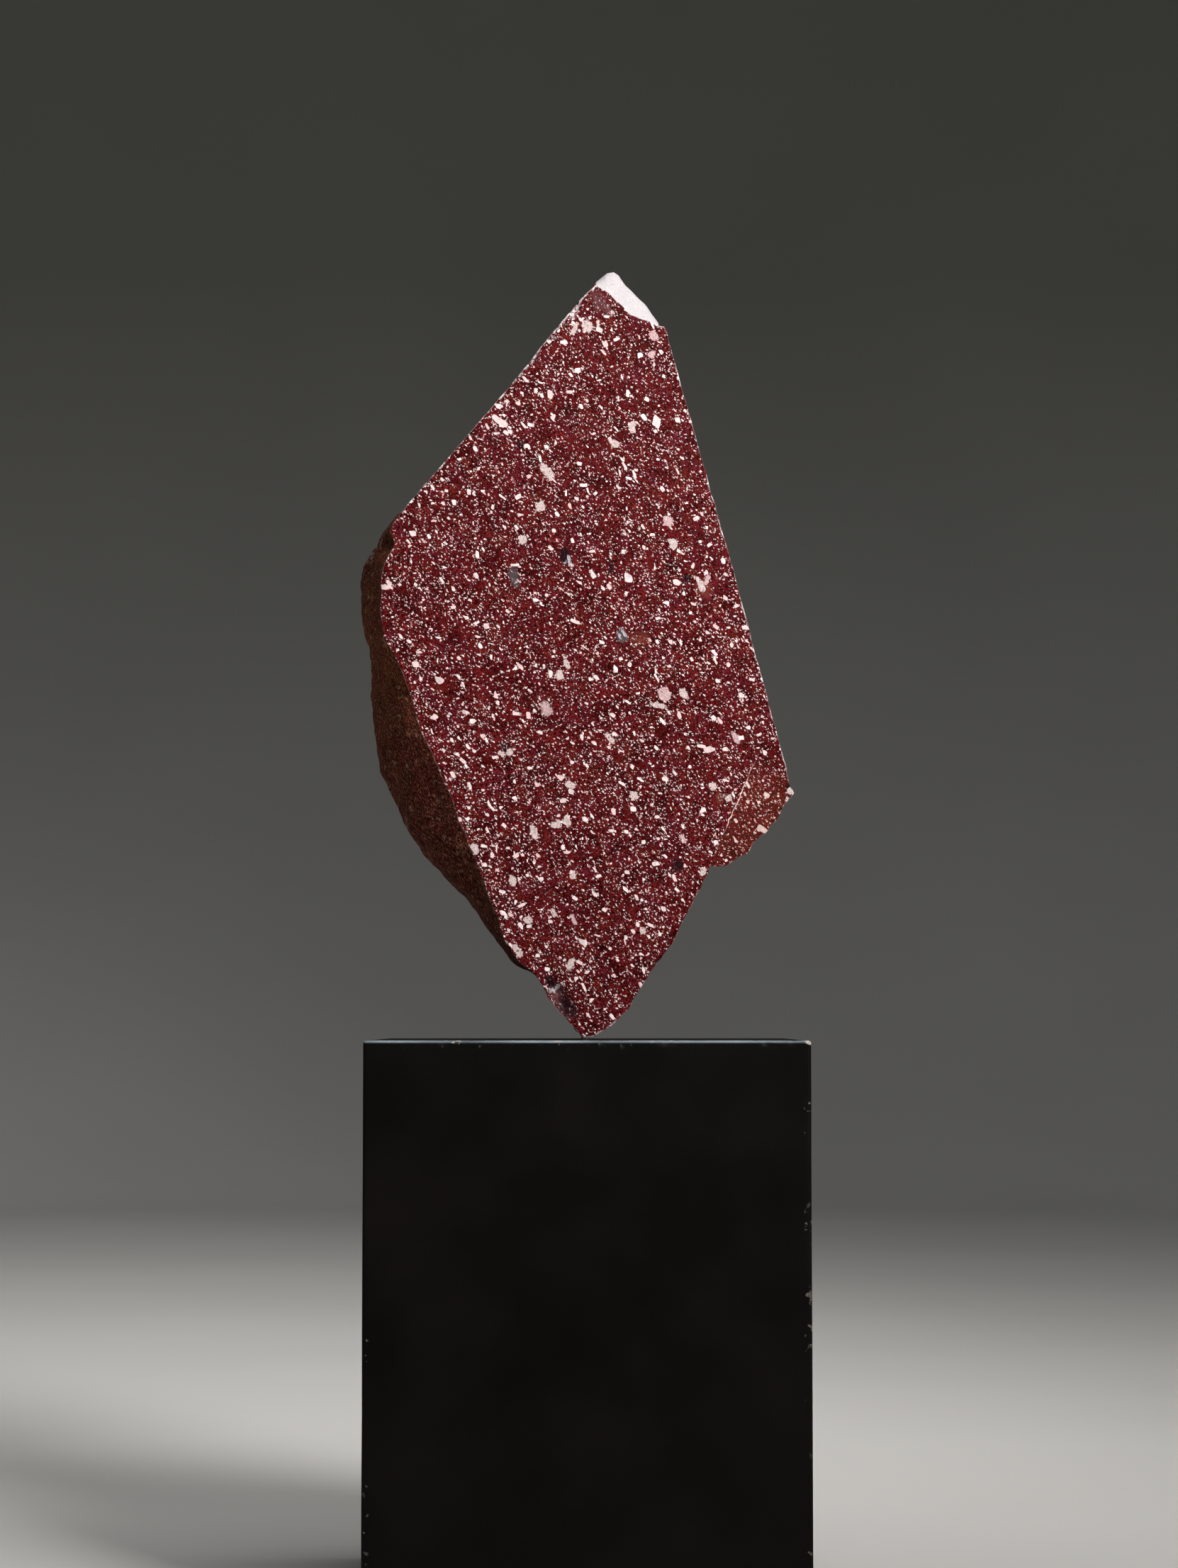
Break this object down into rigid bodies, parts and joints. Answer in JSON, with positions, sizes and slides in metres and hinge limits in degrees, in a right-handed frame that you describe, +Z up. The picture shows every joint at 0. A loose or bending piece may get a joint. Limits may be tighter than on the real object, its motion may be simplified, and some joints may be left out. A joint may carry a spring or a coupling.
{
  "type": "porphyry fragment on a display block",
  "caption": "Angular fragment of a worked purple-red porphyry slab with pale crystals, standing on its tip on a square black block.",
  "frame": {"origin": "middle of the display block's underside", "axes": "+Z up, +X to the right along the block's front, +Y from the front to the back; the stone's cut face looks along -Y, turned 9 degrees towards +X"},
  "size_m": [0.1608, 0.155, 0.4811],
  "materials": {
    "porphyry": "cut face honed to a satin surface, sides and back broken and matt; pale crystals in a purple-red ground",
    "pin_steel": "plain bright-drawn steel rod",
    "black_paint": "wood painted satin black, rubbed and chipped along its upper edges"
  },
  "bodies": {
    "root": {"porphyry_fragment": "porphyry", "mounting_pin": "pin_steel", "display_block": "black_paint"}
  },
  "joints": []
}
